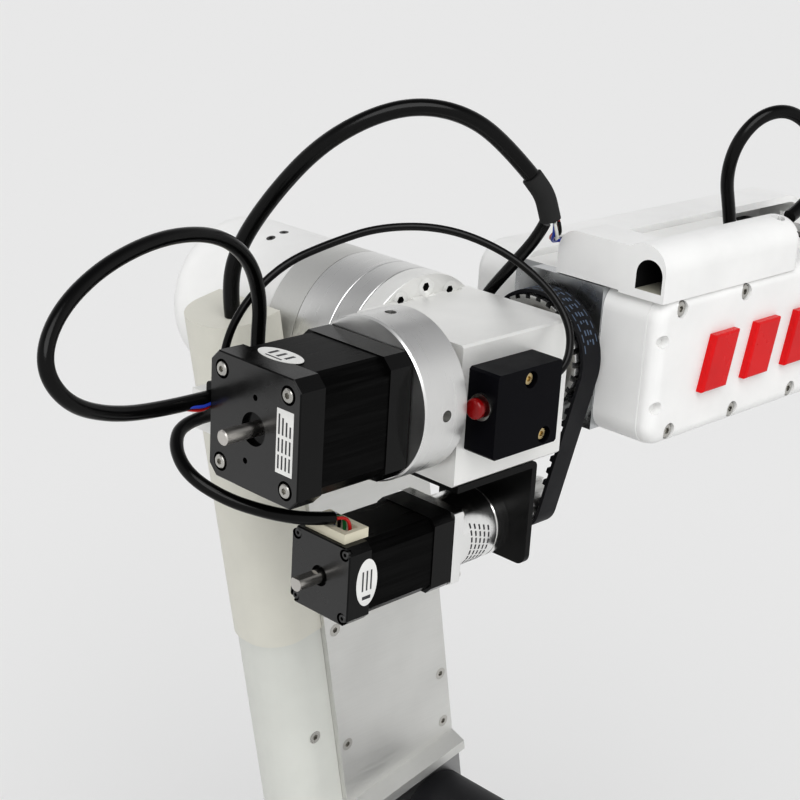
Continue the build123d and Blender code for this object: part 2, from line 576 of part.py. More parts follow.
def make_j4_belt():
    """The J4 belt: a smooth band, with its teeth on the two free runs."""
    pitch_big = BIG_TEETH * BELT_PITCH / (2 * pi)
    pitch_small = SMALL_TEETH * BELT_PITCH / (2 * pi)
    inner_big = pitch_big - 0.25 + GAP
    inner_small = pitch_small - 0.25 + GAP
    loop = belt_loop(inner_big, inner_small, (0, -SMALL_MOTOR_DROP), BELT_THICK)
    band = Pos(BELT_X[0], 0, 0) * extrude(Plane.YZ * loop, amount=BELT_X[1] - BELT_X[0])
    lean = (inner_big - inner_small) / SMALL_MOTOR_DROP
    slope = radians(90) - pi / 2 + lean
    run = SMALL_MOTOR_DROP * cos(slope)
    count = int((run - 12) / BELT_PITCH)
    for side in (-1, 1):
        for i in range(count):
            along = 8 + BELT_PITCH * i
            y = side * (inner_big * cos(slope) - along * sin(slope))
            z = -along * cos(slope) - inner_big * sin(slope)
            tooth = box((BELT_X[0], BELT_X[1]), (-TOOTH_DEPTH, 0.2), (-1.0, 1.0))
            turn = Rot(0, 0, 180) if side < 0 else Rot(0, 0, 0)
            band += Pos(0, y, z) * Rot(-side * slope * 180 / pi, 0, 0) * Pos(
                (BELT_X[0] + BELT_X[1]) * (side < 0), 0, 0) * turn * tooth
    return band


# ---- forearm: turns on J4 ---------------------------------------------------------------
def make_forearm():
    stepper = motor(17, MOTOR_LENGTH, MOTOR_SHAFT + RUN_FIT)
    exit_boss = box((3, 15), (21.0, 26.8), (-3, 8))
    exit_boss = fillet(exit_boss.edges().filter_by(Axis.X).group_by(Axis.Y)[-1], 1.5)
    stepper += exit_boss
    for y, z in ((-0.5, 10.5), (3.5, -11.5)):
        stepper -= rod("X", 1.0, (-1, 2.5), (y, z))

    collar = tube("X", COLLAR_R, 20 + SEAT_FIT, COLLAR_X)
    collar = chamfer(collar.edges().filter_by(GeomType.CIRCLE), 0.6)
    for turn in (0, 90, 180, 270):
        collar -= Rot(turn, 0, 0) * rod("Z", 2.0, (15, 32), (57.5, 0))
    set_screws = []
    for turn in (0, 90, 180, 270):
        grub = rod("Z", 1.95, (20.3, 23.5), (57.5, 0))
        grub -= Pos(57.5, 0, 22.0) * extrude(RegularPolygon(1.0, 6), amount=3)
        set_screws.append(Rot(turn, 0, 0) * grub)

    shaft = tube("X", J4_SHAFT_R, 6.5, (COLLAR_X[1] - 3, 149))
    shaft += tube("X", 20, 6.5, (MOTOR_LENGTH + 0.05, COLLAR_X[1] - 1))
    shaft += tube("X", 15.5, 6.5, (BLOCK_X[1] + 0.5, BELT_X[0] - 2.6))

    wheel = pulley(BIG_TEETH, (BELT_X[0] - 2.5, BELT_X[1] + 1), J4_SHAFT_R + SEAT_FIT)

    frame = make_frame()
    left, lid, lid_screws, left_cuts = make_left_cover()
    right, right_screws, right_cuts = make_right_cover()
    frame = drill(frame, left_cuts + right_cuts)

    bars = []
    for i in range(3):
        x = 172 + 27 * i
        outline = Plane.XZ * Polyline((x, -10.5), (x + 15, -10.5), (x + 20, 10.5), (x + 5, 10.5), close=True)
        bar = Pos(0, LID_Y[0] - 0.02, 0) * extrude(make_face(outline), amount=BAR_RAISE)
        bar = fillet(bar.edges().group_by(Axis.Y)[0], 0.9)
        bars.append(bar)

    save("j5_motor", ELBOW * stepper)
    save("j4_collar", ELBOW * collar)
    save("j4_shaft", ELBOW * shaft)
    save("j4_driven_pulley", ELBOW * wheel)
    save("forearm_frame", ELBOW * frame)
    save("forearm_cover_left", ELBOW * left)
    save("forearm_lid_left", ELBOW * lid)
    save("forearm_cover_right", ELBOW * right)
    save("forearm_bars", ELBOW * group(bars))
    save("forearm_screws", ELBOW * group(set_screws + lid_screws + right_screws + motor_screws(17)))

    lead = rod("X", MOTOR_SHAFT, (-12.5, MOTOR_LENGTH + 0.5))
    lead += rod("X", SCREW_LEAD_R, (MOTOR_LENGTH + 0.5, 262))
    lead = chamfer(lead.edges().group_by(Axis.X)[0], 0.4)
    save("j5_lead_screw", ELBOW * lead)

    carriage = box((208, 240), (-13, 21), (-10, 10)) + box((219, 231), (20, 44), (8, 14.2))
    carriage += box((219, 231), (33.5, 36.2), (8, 18.6)) + box((219, 231), (33.5, 44), (17.6, 18.6))
    carriage -= rod("X", SCREW_LEAD_R + RUN_FIT, (200, 250))
    save("j5_carriage", ELBOW * carriage)


def make_frame():
    """The forearm's milled frame: a rounded rear block, a channel and a fork for the wrist."""
    body = box((FRAME_X[0] + 6, FRAME_X[1]), FRAME_Y, (-FRAME_HALF, FRAME_HALF))
    body = soften(body, Axis.X, 5)
    rear = box((FRAME_X[0], FRAME_X[0] + 8), (FRAME_Y[0], REAR_Y), (-FRAME_HALF, FRAME_HALF))
    rear = fillet(rear.edges().filter_by(Axis.X).group_by(Axis.Y)[-1], 7)
    body += rear
    for side in (-1, 1):
        inner, outer = side * FORK_INNER, side * FORK_OUTER
        span = (min(inner, outer), max(inner, outer))
        body += box((262, J5_X), span, (-18, 18)) + rod("Y", 18, span, (J5_X, 0))
    body += box((262, FRAME_X[1]), (-FORK_OUTER, FORK_OUTER), (-18, 18))
    body -= box((155, FRAME_X[1] + 1), (FRAME_Y[0] + 5, FRAME_Y[1] - 5), (-21, 21))
    body -= slab("Z", 76, 12, 5.9, (20, FRAME_HALF + 1), (204, -7))
    body -= box((190, 261.5), (FRAME_Y[1] - 6, FRAME_Y[1] + 1), (6, 20.5))
    body -= rod("X", J4_SHAFT_R + SEAT_FIT, (140, 160))
    body -= rod("Y", 6 + RUN_FIT, (-40, 40), (J5_X, 0))
    idler = rod("Y", J5_PULLEY_R - 0.3, (FRAME_Y[1] - 0.5, 46), (IDLER_X, 0))
    return body + idler


def make_left_cover():
    """The near cover: a rim on the frame, a cable duct along its top, and a flat lid."""
    y_in = FRAME_Y[0] - 0.1
    rim = box(COVER_X, (LID_Y[1] + 0.05, y_in), (-COVER_HALF, COVER_HALF))
    rim = fillet(rim.edges().filter_by(Axis.Y), COVER_CORNER)
    inside = box((COVER_X[0] + 3, COVER_X[1] - 3), (LID_Y[1] - 1, y_in + 1), (-COVER_HALF + 3, COVER_HALF - 3))
    inside = fillet(inside.edges().filter_by(Axis.Y), COVER_CORNER - 3)
    duct = box((COVER_X[0], DUCT_END), (LID_Y[0], -25.0), (COVER_HALF - 1.5, 46.0))
    duct = fillet(duct.edges().filter_by(Axis.X).group_by(Axis.Z)[-1], 9.0)
    duct = fillet(duct.edges().group_by(Axis.X)[-1].group_by(Axis.Z)[-1], 5.0)
    cross = box((COVER_X[0], 164), (-30.0, 3.5), (FRAME_HALF + 0.3, 44.0))
    cross = fillet(cross.edges().filter_by(Axis.X).group_by(Axis.Z)[-1].group_by(Axis.Y)[-1], 8.0)
    cover = rim - inside
    cover += duct + cross
    bore = rod("X", 5.6, (COVER_X[0] - 1, DUCT_END - 6), (-37.6, 35.3))
    bore += box((COVER_X[0] - 1, DUCT_END - 6), (-43.2, -32.0), (29.6, 35.3))
    cover -= bore
    cover -= rod("Y", 3.4, (-14, 5), (154, 38.0))
    cover -= rod("Z", 2.6, (34, 50), (DUCT_END - 8, -37.0))
    places = []
    for i in range(3):
        for z in (-LID_SCREW_Z, LID_SCREW_Z):
            places.append((LID_SCREW_X + LID_SCREW_PITCH * i, LID_SEAT, z, "-Y"))
    lid_screws, cuts = fasten(places, 3, 24.5)
    for x, _, z, _ in places:
        post = rod("Y", 4.5, (LID_Y[1] + 0.05, y_in), (x, z))
        cover += post
    cover = drill(cover, cuts)

    length = COVER_X[1] - COVER_X[0] - 0.4
    middle = (COVER_X[0] + COVER_X[1]) / 2
    lid = slab("Y", length, 2 * COVER_HALF - 0.4, COVER_CORNER - 0.2, LID_Y, (middle, 0))
    lid = fillet(lid.edges().group_by(Axis.Y)[0], LID_EDGE)
    under_duct = (COVER_HALF - 1.6, COVER_HALF + 1)
    lid -= box((COVER_X[0] - 1, DUCT_END + 0.1), (LID_Y[0] - 1, LID_Y[1] + 1), under_duct)
    for z in (-12.3, 12.3):
        lid -= rod("Y", 2.4, (LID_Y[0] - 1, LID_Y[0] + 3.2), (149.2, z))
    for x, _, z, _ in places:
        lid -= rod("Y", 3.2, (LID_Y[0] - 1, LID_SEAT), (x, z))
    return cover, drill(lid, cuts), lid_screws, cuts


def make_right_cover():
    """The far cover, over the J5 belt."""
    y = (FRAME_Y[1] + 0.1, 50.0)
    span = (153.5, J5_X + 21)
    outer = box(span, y, (-COVER_HALF, COVER_HALF))
    outer = fillet(outer.edges().filter_by(Axis.Y), 12)
    outer = fillet(outer.edges().group_by(Axis.Y)[-1], 4)
    outer -= slab("Y", span[1] - span[0] - 6, 2 * COVER_HALF - 6, 8, (y[0] - 1, y[1] - 3),
                  ((span[0] + span[1]) / 2, 0))
    outer -= box((258, 360), (20, FORK_OUTER + 0.1), (-18.1, 18.1))
    outer -= rod("Y", 18.1, (20, FORK_OUTER + 0.1), (J5_X, 0))
    places = [(x, y[1], z, "+Y") for x in (167, 268) for z in (-22.4, 22.4)]
    made, cuts = fasten(places, 3, 26, flat=True)
    for x, _, z, _ in places:
        outer += rod("Y", 4.2, (y[0], y[1] - 2), (x, z))
    return drill(outer, cuts), made, cuts


# ---- wrist and tool: turn on J5 and J6 --------------------------------------------------
def make_wrist():
    place = Pos(J5_X, 0, 0)
    yoke = box((-8, 16), (-FORK_INNER + GAP, FORK_INNER - GAP), (-21, 21))
    yoke = soften(yoke, Axis.X, 5)
    yoke += rod("Y", 6, (-FORK_OUTER + 0.5, 46))
    yoke += rod("Y", J5_PULLEY_R - 0.3, (FORK_OUTER + GAP, 46))
    yoke -= rod("X", 17.6 + SEAT_FIT, (-9, 17))
    stepper = Pos(-38, 0, 0) * motor(14, 29.6, MOTOR_SHAFT + 0.5)
    gearbox = tube("X", 17.6, 5 + RUN_FIT, (-8.3, 24))
    flange = rod("X", 22, (28, TOOL_REACH)) + rod("X", 8, (24 + GAP, 28)) + rod("X", 5, (9, 28))
    flange = chamfer(flange.edges().group_by(Axis.X)[-1], 0.8)
    for a in (45, 135, 225, 315):
        flange -= rod("X", 2.1, (24, 40), (15.75 * cos(radians(a)), 15.75 * sin(radians(a))))
    flange -= rod("X", 3.0, (20, 40))
    save("wrist_housing", ELBOW * place * yoke)
    save("j6_gearmotor", ELBOW * place * group([stepper, gearbox]))
    save("tool_flange", ELBOW * place * flange)


def make_j5_belt():
    loop = belt_loop(J5_PULLEY_R, J5_PULLEY_R, (J5_X - IDLER_X, 0), BELT_THICK)
    save("j5_belt", ELBOW * Pos(IDLER_X, 44, 0) * extrude(Plane.XZ * loop, amount=7))


# ---- cables -----------------------------------------------------------------------------
JUNCTION_POINTS = [(128.7, 4.5, 64.0), (133.1, 1.6, 57.6), (136.0, 0.5, 48.5)]
CABLES = {
    # name: (diameter, points in the forearm frame)
    "arm_cable": (6.0, [(55.4, 77, 7.8), (52.8, 76.5, 21), (53.5, 71, 37), (59, 61, 55), (68, 50, 72),
                        (80, 39, 83), (93, 29, 88), (106, 19, 86), (118, 11, 77.5), (128.4, 4.7, 64.5)]),
    "junction_wires": (3.4, [(136.7, -1.8, 48.2), (137.9, -2.1, 44.0), (142.0, 3.5, 40.3), (148.5, 8.0, 38.4),
                             (154.0, 6.0, 38.0), (154.0, -9.0, 38.0)]),
    "branch_cable": (4.4, [(136.2, 3.0, 46.8), (135.6, 5.5, 41), (132.5, 13, 30), (131.3, 22.0, 18.5),
                           (127.5, 23.2, 12.8), (121.0, 23.5, 10.0)]),
    "motor_loop": (5.0, [(2.9, 24, 3), (-15, 24, 3), (-37, 22, 6), (-55, 20, 14), (-62, 22, 27), (-53, 27, 40),
                         (-33, 32, 50), (-8, 35, 55), (15, 37, 52), (31, 40, 41), (38, 42, 25), (38, 43, 10),
                         (38, 43, -5.9)]),
    "j4_motor_cable": (4.5, [(33, -3, -37.6), (23, -1, -36), (12, 5, -33), (2, 15, -29), (-4, 27, -23),
                             (-1, 38, -17), (8, 45, -13), (19.7, 45, -13)]),
    "switch_cable": (2.8, [(28, 50, -5.8), (28.5, 50, 7), (36, 49, 22), (50, 45, 35), (67, 40, 41), (84, 33, 46),
                           (100, 18, 47), (112, 1, 41), (118, -15, 31), (119, -26, 20), (115.5, -30, 9),
                           (108, -30, 3.5), (102.2, -30, 3)]),
    "forearm_loop": (5.2, [(238, -9, 27), (234, -8.5, 42), (227, -10, 56), (227, -13, 70), (235, -17, 80),
                           (247, -22, 82), (257, -28, 74), (257, -34, 60), (246, -37, 50), (232.1, -37, 45)]),
}


def make_cables():
    for name, (diameter, points) in CABLES.items():
        save(name, ELBOW * cable(points, diameter, name))


os.makedirs("parts", exist_ok=True)
make_base()
make_turret()
make_upper_arm()
make_elbow()
make_forearm()
make_wrist()
make_j5_belt()
make_cables()
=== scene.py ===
"""Desktop six-axis robot arm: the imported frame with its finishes, cables, labels and studio."""
import math

import bmesh
import bpy
from mathutils import Matrix, Vector


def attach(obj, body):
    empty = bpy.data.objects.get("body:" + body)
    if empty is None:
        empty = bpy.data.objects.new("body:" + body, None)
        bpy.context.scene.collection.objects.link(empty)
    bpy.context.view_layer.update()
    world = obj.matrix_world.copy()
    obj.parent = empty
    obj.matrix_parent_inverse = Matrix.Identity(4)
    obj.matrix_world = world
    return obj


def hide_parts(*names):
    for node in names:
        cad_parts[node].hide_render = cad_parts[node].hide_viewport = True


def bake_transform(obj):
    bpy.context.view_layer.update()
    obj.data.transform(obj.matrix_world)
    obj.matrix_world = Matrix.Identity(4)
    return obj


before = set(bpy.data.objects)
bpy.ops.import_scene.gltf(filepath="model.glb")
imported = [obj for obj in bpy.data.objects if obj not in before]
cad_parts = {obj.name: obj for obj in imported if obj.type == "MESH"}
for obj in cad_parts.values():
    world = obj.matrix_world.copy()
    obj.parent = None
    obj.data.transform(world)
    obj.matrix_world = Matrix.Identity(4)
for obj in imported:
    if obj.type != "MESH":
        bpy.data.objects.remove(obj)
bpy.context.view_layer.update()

# ---- the frame's own places, in millimetres ---------------------------------------------
MM = 0.001
LEAN = math.radians(11.5)
J2 = (64.2, 169.8)
UPPER_ARM = 305.0
J3 = (J2[0] - UPPER_ARM * math.sin(LEAN), J2[1] + UPPER_ARM * math.cos(LEAN))
# the J3 axis in the forearm frame's X and Z, and the screws of the elbow flange round it
FLANGE_AXIS = (104.0, -5.0)
FLANGE_SCREW_ANGLES = (62.5, 90.0, 117.5, 242.5, 270.0, 297.5)
FLANGE_SCREW_R = 27.2
SOCKET_R = 1.75
# the forearm frame's origin: all cable routes, label places and face tests are from here
ELBOW = Vector((J3[0] - FLANGE_AXIS[0], 0.0, J3[1] - FLANGE_AXIS[1])) * MM
X, Y, Z = Vector((1, 0, 0)), Vector((0, 1, 0)), Vector((0, 0, 1))


def place(x, y, z):
    """A point of the forearm frame, given in millimetres, in the row frame in metres."""
    return ELBOW + Vector((x, y, z)) * MM


# ---- camera -----------------------------------------------------------------------------
AZIMUTH, TILT, ROLL = (math.radians(a) for a in (43.9, 19.5, 3.4))
LENS = 76.5
SENSOR = 36.0
CAMERA_AT = (-322.4, -372.2, 186.1)


def add_camera():
    level = math.cos(TILT)
    forward = Vector((level * math.cos(AZIMUTH), level * math.sin(AZIMUTH), -math.sin(TILT)))
    right = forward.cross(Z).normalized()
    up = right.cross(forward)
    tilted_right = math.cos(ROLL) * right + math.sin(ROLL) * up
    tilted_up = math.cos(ROLL) * up - math.sin(ROLL) * right
    camera = bpy.data.objects.new("camera", bpy.data.cameras.new("camera"))
    camera.data.lens = LENS
    camera.data.sensor_width = SENSOR
    camera.data.clip_start = 0.02
    camera.data.clip_end = 200.0
    camera.matrix_world = Matrix((tilted_right, tilted_up, -forward)).transposed().to_4x4()
    camera.location = place(*CAMERA_AT)
    bpy.context.scene.collection.objects.link(camera)
    bpy.context.scene.camera = camera


# ---- materials --------------------------------------------------------------------------
def material(name, colour, roughness, metallic=0.0, coat=0.0, specular=0.5):
    """A Principled material; whatever is the same all over is set on the shader itself."""
    made = bpy.data.materials.new(name)
    made.use_nodes = True
    shader = made.node_tree.nodes["Principled BSDF"]
    shader.inputs["Base Color"].default_value = (*colour, 1.0)
    shader.inputs["Roughness"].default_value = roughness
    shader.inputs["Metallic"].default_value = metallic
    shader.inputs["Coat Weight"].default_value = coat
    shader.inputs["Coat Roughness"].default_value = 0.12
    shader.inputs["Specular IOR Level"].default_value = specular
    return made


def noise(made, scale, detail=3.0, shift=0.0):
    """A noise pattern on object coordinates; scale is in features per metre along X, Y and Z."""
    nodes, links = made.node_tree.nodes, made.node_tree.links
    where = nodes.new("ShaderNodeTexCoord")
    mapping = nodes.new("ShaderNodeMapping")
    mapping.inputs["Scale"].default_value = scale
    mapping.inputs["Location"].default_value = (shift, shift, shift)
    pattern = nodes.new("ShaderNodeTexNoise")
    pattern.inputs["Scale"].default_value = 1.0
    pattern.inputs["Detail"].default_value = detail
    links.new(where.outputs["Object"], mapping.inputs["Vector"])
    links.new(mapping.outputs["Vector"], pattern.inputs["Vector"])
    return pattern.outputs["Fac"]


def vary_roughness(made, pattern, low, high):
    nodes, links = made.node_tree.nodes, made.node_tree.links
    span = nodes.new("ShaderNodeMapRange")
    span.inputs["From Min"].default_value = 0.3
    span.inputs["From Max"].default_value = 0.7
    span.inputs["To Min"].default_value = low
    span.inputs["To Max"].default_value = high
    links.new(pattern, span.inputs["Value"])
    links.new(span.outputs["Result"], nodes["Principled BSDF"].inputs["Roughness"])


def vary_colour(made, pattern, first, second, span=(0.35, 0.65)):
    nodes, links = made.node_tree.nodes, made.node_tree.links
    ramp = nodes.new("ShaderNodeValToRGB")
    ramp.color_ramp.elements[0].position = span[0]
    ramp.color_ramp.elements[0].color = (*first, 1.0)
    ramp.color_ramp.elements[1].position = span[1]
    ramp.color_ramp.elements[1].color = (*second, 1.0)
    links.new(pattern, ramp.inputs["Fac"])
    links.new(ramp.outputs["Color"], nodes["Principled BSDF"].inputs["Base Color"])


def emboss(made, pattern, depth, strength=1.0):
    """Adds a bump of a depth in metres, on top of any bump the material has already."""
    nodes, links = made.node_tree.nodes, made.node_tree.links
    normal = nodes["Principled BSDF"].inputs["Normal"]
    bump = nodes.new("ShaderNodeBump")
    bump.inputs["Distance"].default_value = depth
    bump.inputs["Strength"].default_value = strength
    links.new(pattern, bump.inputs["Height"])
    if normal.is_linked:
        links.new(normal.links[0].from_socket, bump.inputs["Normal"])
    links.new(bump.outputs["Normal"], normal)


def enamel(name, colour, low, high, specular=0.22):
    """Gloss black motor enamel: a faint orange peel and wiped patches."""
    made = material(name, colour, low, specular=specular)
    vary_roughness(made, noise(made, (70, 70, 70), 4.0), low, high)
    emboss(made, noise(made, (1400, 1400, 1400), 2.0), 0.00003, 0.5)
    return made


def lamination(name, scale):
    """The satin black plates between a motor's end caps, with fine streaks."""
    made = material(name, (0.004, 0.004, 0.004), 0.34, specular=0.05)
    streaks = noise(made, scale, 5.0)
    vary_roughness(made, streaks, 0.26, 0.36)
    vary_colour(made, streaks, (0.002, 0.002, 0.002), (0.007, 0.007, 0.007), (0.45, 0.75))
    emboss(made, streaks, 0.00001, 0.5)
    return made


def aluminium(name, scale, colour=(0.80, 0.80, 0.79), low=0.26, high=0.42, depth=0.00002, metallic=1.0):
    """Satin aluminium with fine tool marks; scale says which way the marks run."""
    made = material(name, colour, low, metallic=metallic)
    marks = noise(made, scale, 4.0)
    vary_roughness(made, marks, low, high)
    wiped = noise(made, (28, 28, 28), 3.0, 4.0)
    shade = tuple(0.93 * c for c in colour)
    vary_colour(made, wiped, shade, colour)
    emboss(made, marks, depth, 0.6)
    return made


def printed(name, colour, scale):
    """White printed plastic with faint layer lines and a little mottling."""
    made = material(name, colour, 0.46, specular=0.4)
    layers = noise(made, scale, 2.0)
    mottle = noise(made, (45, 45, 45), 4.0, 2.0)
    vary_colour(made, mottle, tuple(0.95 * c for c in colour), colour)
    vary_roughness(made, mottle, 0.38, 0.52)
    emboss(made, layers, 0.00003, 0.7)
    return made


def plain(name, colour, low, high, metallic=0.0, coat=0.0, grain=900.0, depth=0.00002, tint=0.85,
          specular=0.5):
    """A finish with an even fine grain and slight wiping."""
    made = material(name, colour, low, metallic=metallic, coat=coat, specular=specular)
    grains = noise(made, (grain, grain, grain), 3.0)
    wiped = noise(made, (60, 60, 60), 3.0, 7.0)
    vary_roughness(made, wiped, low, high)
    vary_colour(made, wiped, tuple(tint * c for c in colour), colour)
    emboss(made, grains, depth, 0.5)
    return made


FINISH = {
    "enamel": enamel("motor_enamel", (0.003, 0.003, 0.003), 0.12, 0.22),
    # the motors' rear faces: the same black enamel made lighter and glossier, as painted sheen
    "enamel_painted_sheen": enamel("motor_enamel_painted_sheen", (0.010, 0.010, 0.010), 0.16, 0.30, specular=0.7),
    "lamination": lamination("motor_laminations", (40, 900, 900)),
    "turned_x": aluminium("aluminium_turned_x", (2600, 45, 45)),
    "turned_y": aluminium("aluminium_turned_y", (45, 2600, 45)),
    "milled": aluminium("aluminium_milled", (260, 1500, 1500), (0.90, 0.90, 0.88), 0.34, 0.46,
                        metallic=0.45),
    "rear_block": aluminium("aluminium_block", (60, 60, 60), (0.55, 0.56, 0.57), 0.24, 0.34, 0.000005),
    "bar": aluminium("aluminium_bar", (70, 1400, 1400), (0.70, 0.70, 0.68), 0.36, 0.5, metallic=0.8),
    # darker aluminium for the under face of the upper arm's shelf: painted shade
    "painted_shade_under_shelf": aluminium("aluminium_painted_shade_under_shelf", (70, 1400, 1400), (0.34, 0.34, 0.34), 0.3, 0.45),
    "steel": plain("steel_bright", (0.62, 0.60, 0.57), 0.2, 0.34, metallic=1.0),
    "screw": plain("screw_steel", (0.55, 0.54, 0.51), 0.22, 0.36, metallic=1.0),
    "brass": plain("screw_brass", (0.62, 0.50, 0.28), 0.24, 0.4, metallic=1.0),
    "switch": plain("switch_plastic", (0.004, 0.004, 0.006), 0.32, 0.46, grain=1500.0, depth=0.00004,
                    specular=0.06),
    "black_sheet": plain("bracket_black", (0.004, 0.004, 0.004), 0.3, 0.42, specular=0.16),
    "button": plain("button_red", (0.24, 0.002, 0.003), 0.14, 0.2, coat=0.3, specular=0.3),
    # the lower arm cover's white plastic with its base colour greyed down as painted shade
    "white": printed("printed_white", (0.66, 0.67, 0.63), (60, 60, 2400)),
    "white_flat": printed("printed_white_flat", (0.86, 0.86, 0.85), (60, 2400, 60)),
    "cream_print": printed("printed_cream", (0.70, 0.69, 0.62), (60, 60, 2400)),
    "cream": printed("connector_cream", (0.74, 0.70, 0.56), (900, 900, 900)),
    "belt": plain("belt_rubber", (0.010, 0.010, 0.012), 0.45, 0.6, grain=2400.0, depth=0.00008,
                  specular=0.2),
    "buffer": plain("buffer_rubber", (0.014, 0.014, 0.016), 0.5, 0.6, grain=1200.0, specular=0.3),
    "mark": plain("mark_red", (0.66, 0.010, 0.012), 0.22, 0.3, tint=0.9, specular=0.2),
    "cable": plain("cable_black", (0.003, 0.003, 0.003), 0.16, 0.26, grain=700.0, depth=0.00003,
                   specular=0.24),
    "base": plain("base_paint", (0.72, 0.72, 0.70), 0.4, 0.5, grain=1800.0, depth=0.00004, tint=0.95),
    "paper": plain("label_paper", (0.82, 0.82, 0.80), 0.3, 0.4, grain=1200.0),
    "ink": plain("label_ink", (0.03, 0.03, 0.035), 0.35, 0.45),
    "print_grey": plain("belt_print", (0.10, 0.14, 0.21), 0.5, 0.6),
    # near black for the insides of the screw sockets and the duct's bore: painted shade
    "bore_painted_shade": material("bore_painted_shade", (0.012, 0.012, 0.012), 0.8, specular=0.1),
    # the floor inside the duct's bore: the cover's plastic dimmed to a beige grey as painted half shade
    "bore_floor_painted_shade": plain("bore_floor_painted_shade", (0.42, 0.41, 0.34), 0.6, 0.7),
    "screw_dark": plain("screw_dark", (0.10, 0.10, 0.10), 0.3, 0.45, metallic=1.0),
    "screw_pale": plain("screw_pale", (0.92, 0.92, 0.90), 0.3, 0.4, metallic=0.2),
    "pulley": plain("pulley_bright", (0.92, 0.92, 0.91), 0.16, 0.28, metallic=1.0),
    "can": aluminium("gearbox_can", (2600, 45, 45), (0.90, 0.90, 0.89), 0.14, 0.24, 0.00001),
    "wire_red": plain("wire_red", (0.55, 0.01, 0.01), 0.25, 0.35),
    "wire_blue": plain("wire_blue", (0.02, 0.05, 0.40), 0.25, 0.35),
    "wire_green": plain("wire_green", (0.01, 0.16, 0.04), 0.25, 0.35),
    "wire_white": plain("wire_white", (0.75, 0.75, 0.72), 0.25, 0.35),
}

NODE_FINISH = {
    "enamel": ("j1_gearmotor", "j2_gearmotor", "j3_gearmotor", "j4_motor", "j5_motor", "j6_gearmotor"),
    "turned_x": ("j4_collar", "j4_motor_pulley", "tool_flange"),
    "pulley": ("j4_driven_pulley",),
    "can": ("j4_gearbox",),
    "turned_y": ("j3_bearing_ring", "j3_gearbox_ring", "j2_hub", "j3_output_hub"),
    "milled": ("elbow_housing", "forearm_frame", "turret_plate", "turret_bracket", "wrist_housing",
               "cable_bracket", "j5_carriage", "base_plate", "j1_motor_pulley"),
    "bar": ("upper_arm",),
    "steel": ("j1_bearings", "j4_bearings", "j4_rotor", "j4_shaft", "j5_lead_screw"),
    "screw": ("base_screws", "turret_screws", "arm_screws", "elbow_screws", "forearm_screws"),
    "switch": ("limit_switch_box", "base_connectors"),
    "black_sheet": ("j4_motor_bracket",),
    "button": ("limit_switch_plunger",),
    "white": ("arm_cover_lower",),
    "cream_print": ("arm_cover_upper",),
    "white_flat": ("forearm_cover_left", "forearm_lid_left", "forearm_cover_right", "j3_motor_cap"),
    "cream": ("j4_motor_connector",),
    "belt": ("j1_belt", "j4_belt", "j5_belt"),
    "buffer": ("arm_buffer",),
    "mark": ("forearm_bars",),
    "base": ("base_housing",),
}


def finish_nodes():
    for finish, names in NODE_FINISH.items():
        for name in names:
            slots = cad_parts[name].data.materials
            slots.clear()
            slots.append(FINISH[finish])


def repaint(name, finish, test):
    """Gives a second finish to the faces whose middle, in forearm millimetres, passes a test."""
    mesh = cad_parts[name].data
    mesh.materials.append(FINISH[finish])
    index = len(mesh.materials) - 1
    for face in mesh.polygons:
        x, y, z = (face.center - ELBOW) / MM
        if test(x, y, z):
            face.material_index = index


def in_flange_socket(x, y, z):
    """Inside faces of the hexagon sockets of the screws in the elbow's flange, which are painted near
    black as shade.
    """
    for angle in FLANGE_SCREW_ANGLES:
        a = math.radians(angle)
        across = x - FLANGE_AXIS[0] - FLANGE_SCREW_R * math.cos(a)
        up = z - FLANGE_AXIS[1] - FLANGE_SCREW_R * math.sin(a)
        if math.hypot(across, up) < SOCKET_R and 28.7 < y < 30.9:
            return True
    return False


def in_duct_bore(x, y, z):
    """Inside faces of the D-shaped bore of the near cover's cable duct, which are painted as shade."""
    return 150 < x < 230 and -43.4 < y < -31.8 and 29.4 < z < 41.1


# ---- cables -----------------------------------------------------------------------------
def spline_object(name, points, diameter):
    """A smooth round cable with the route's points as its control points."""
    curve = bpy.data.curves.new(name, "CURVE")
    curve.dimensions = "3D"
    spline = curve.splines.new("NURBS")
    spline.points.add(len(points) - 1)
    for knot, point in zip(spline.points, points):
        knot.co = (*place(*point), 1.0)
    spline.order_u = 3
    spline.use_endpoint_u = True
    spline.resolution_u = 12
    curve.bevel_depth = diameter * MM / 2
    curve.bevel_resolution = 6
    curve.use_fill_caps = True
    made = bpy.data.objects.new(name, curve)
    bpy.context.scene.collection.objects.link(made)
    return made


def centreline(points):
    """Points along the route's spline, as Blender draws it with no bevel."""
    probe = spline_object("probe", points, 0.0)
    probe.data.use_fill_caps = False
    bpy.context.view_layer.update()
    drawn = probe.evaluated_get(bpy.context.evaluated_depsgraph_get())
    mesh = bpy.data.meshes.new_from_object(drawn)
    line = [v.co.copy() for v in mesh.vertices]
    bpy.data.meshes.remove(mesh)
    bpy.data.curves.remove(probe.data)
    return line


def as_mesh(curve_object):
    """The same cable as a plain mesh."""
    name = curve_object.name
    bpy.context.view_layer.update()
    drawn = curve_object.evaluated_get(bpy.context.evaluated_depsgraph_get())
    mesh = bpy.data.meshes.new_from_object(drawn)
    bpy.data.curves.remove(curve_object.data)
    made = bpy.data.objects.new(name + "_body", mesh)
    bpy.context.scene.collection.objects.link(made)
    for face in mesh.polygons:
        face.use_smooth = True
    return made


def as_piece(name, mesh, finishes):
    """Ends a bmesh and puts it in the scene as one piece with its finishes."""
    bmesh.ops.recalc_face_normals(mesh, faces=mesh.faces)
    data = bpy.data.meshes.new(name)
    mesh.to_mesh(data)
    mesh.free()
    for finish in finishes:
        data.materials.append(FINISH[finish])
    made = bpy.data.objects.new(name, data)
    bpy.context.scene.collection.objects.link(made)
    return made


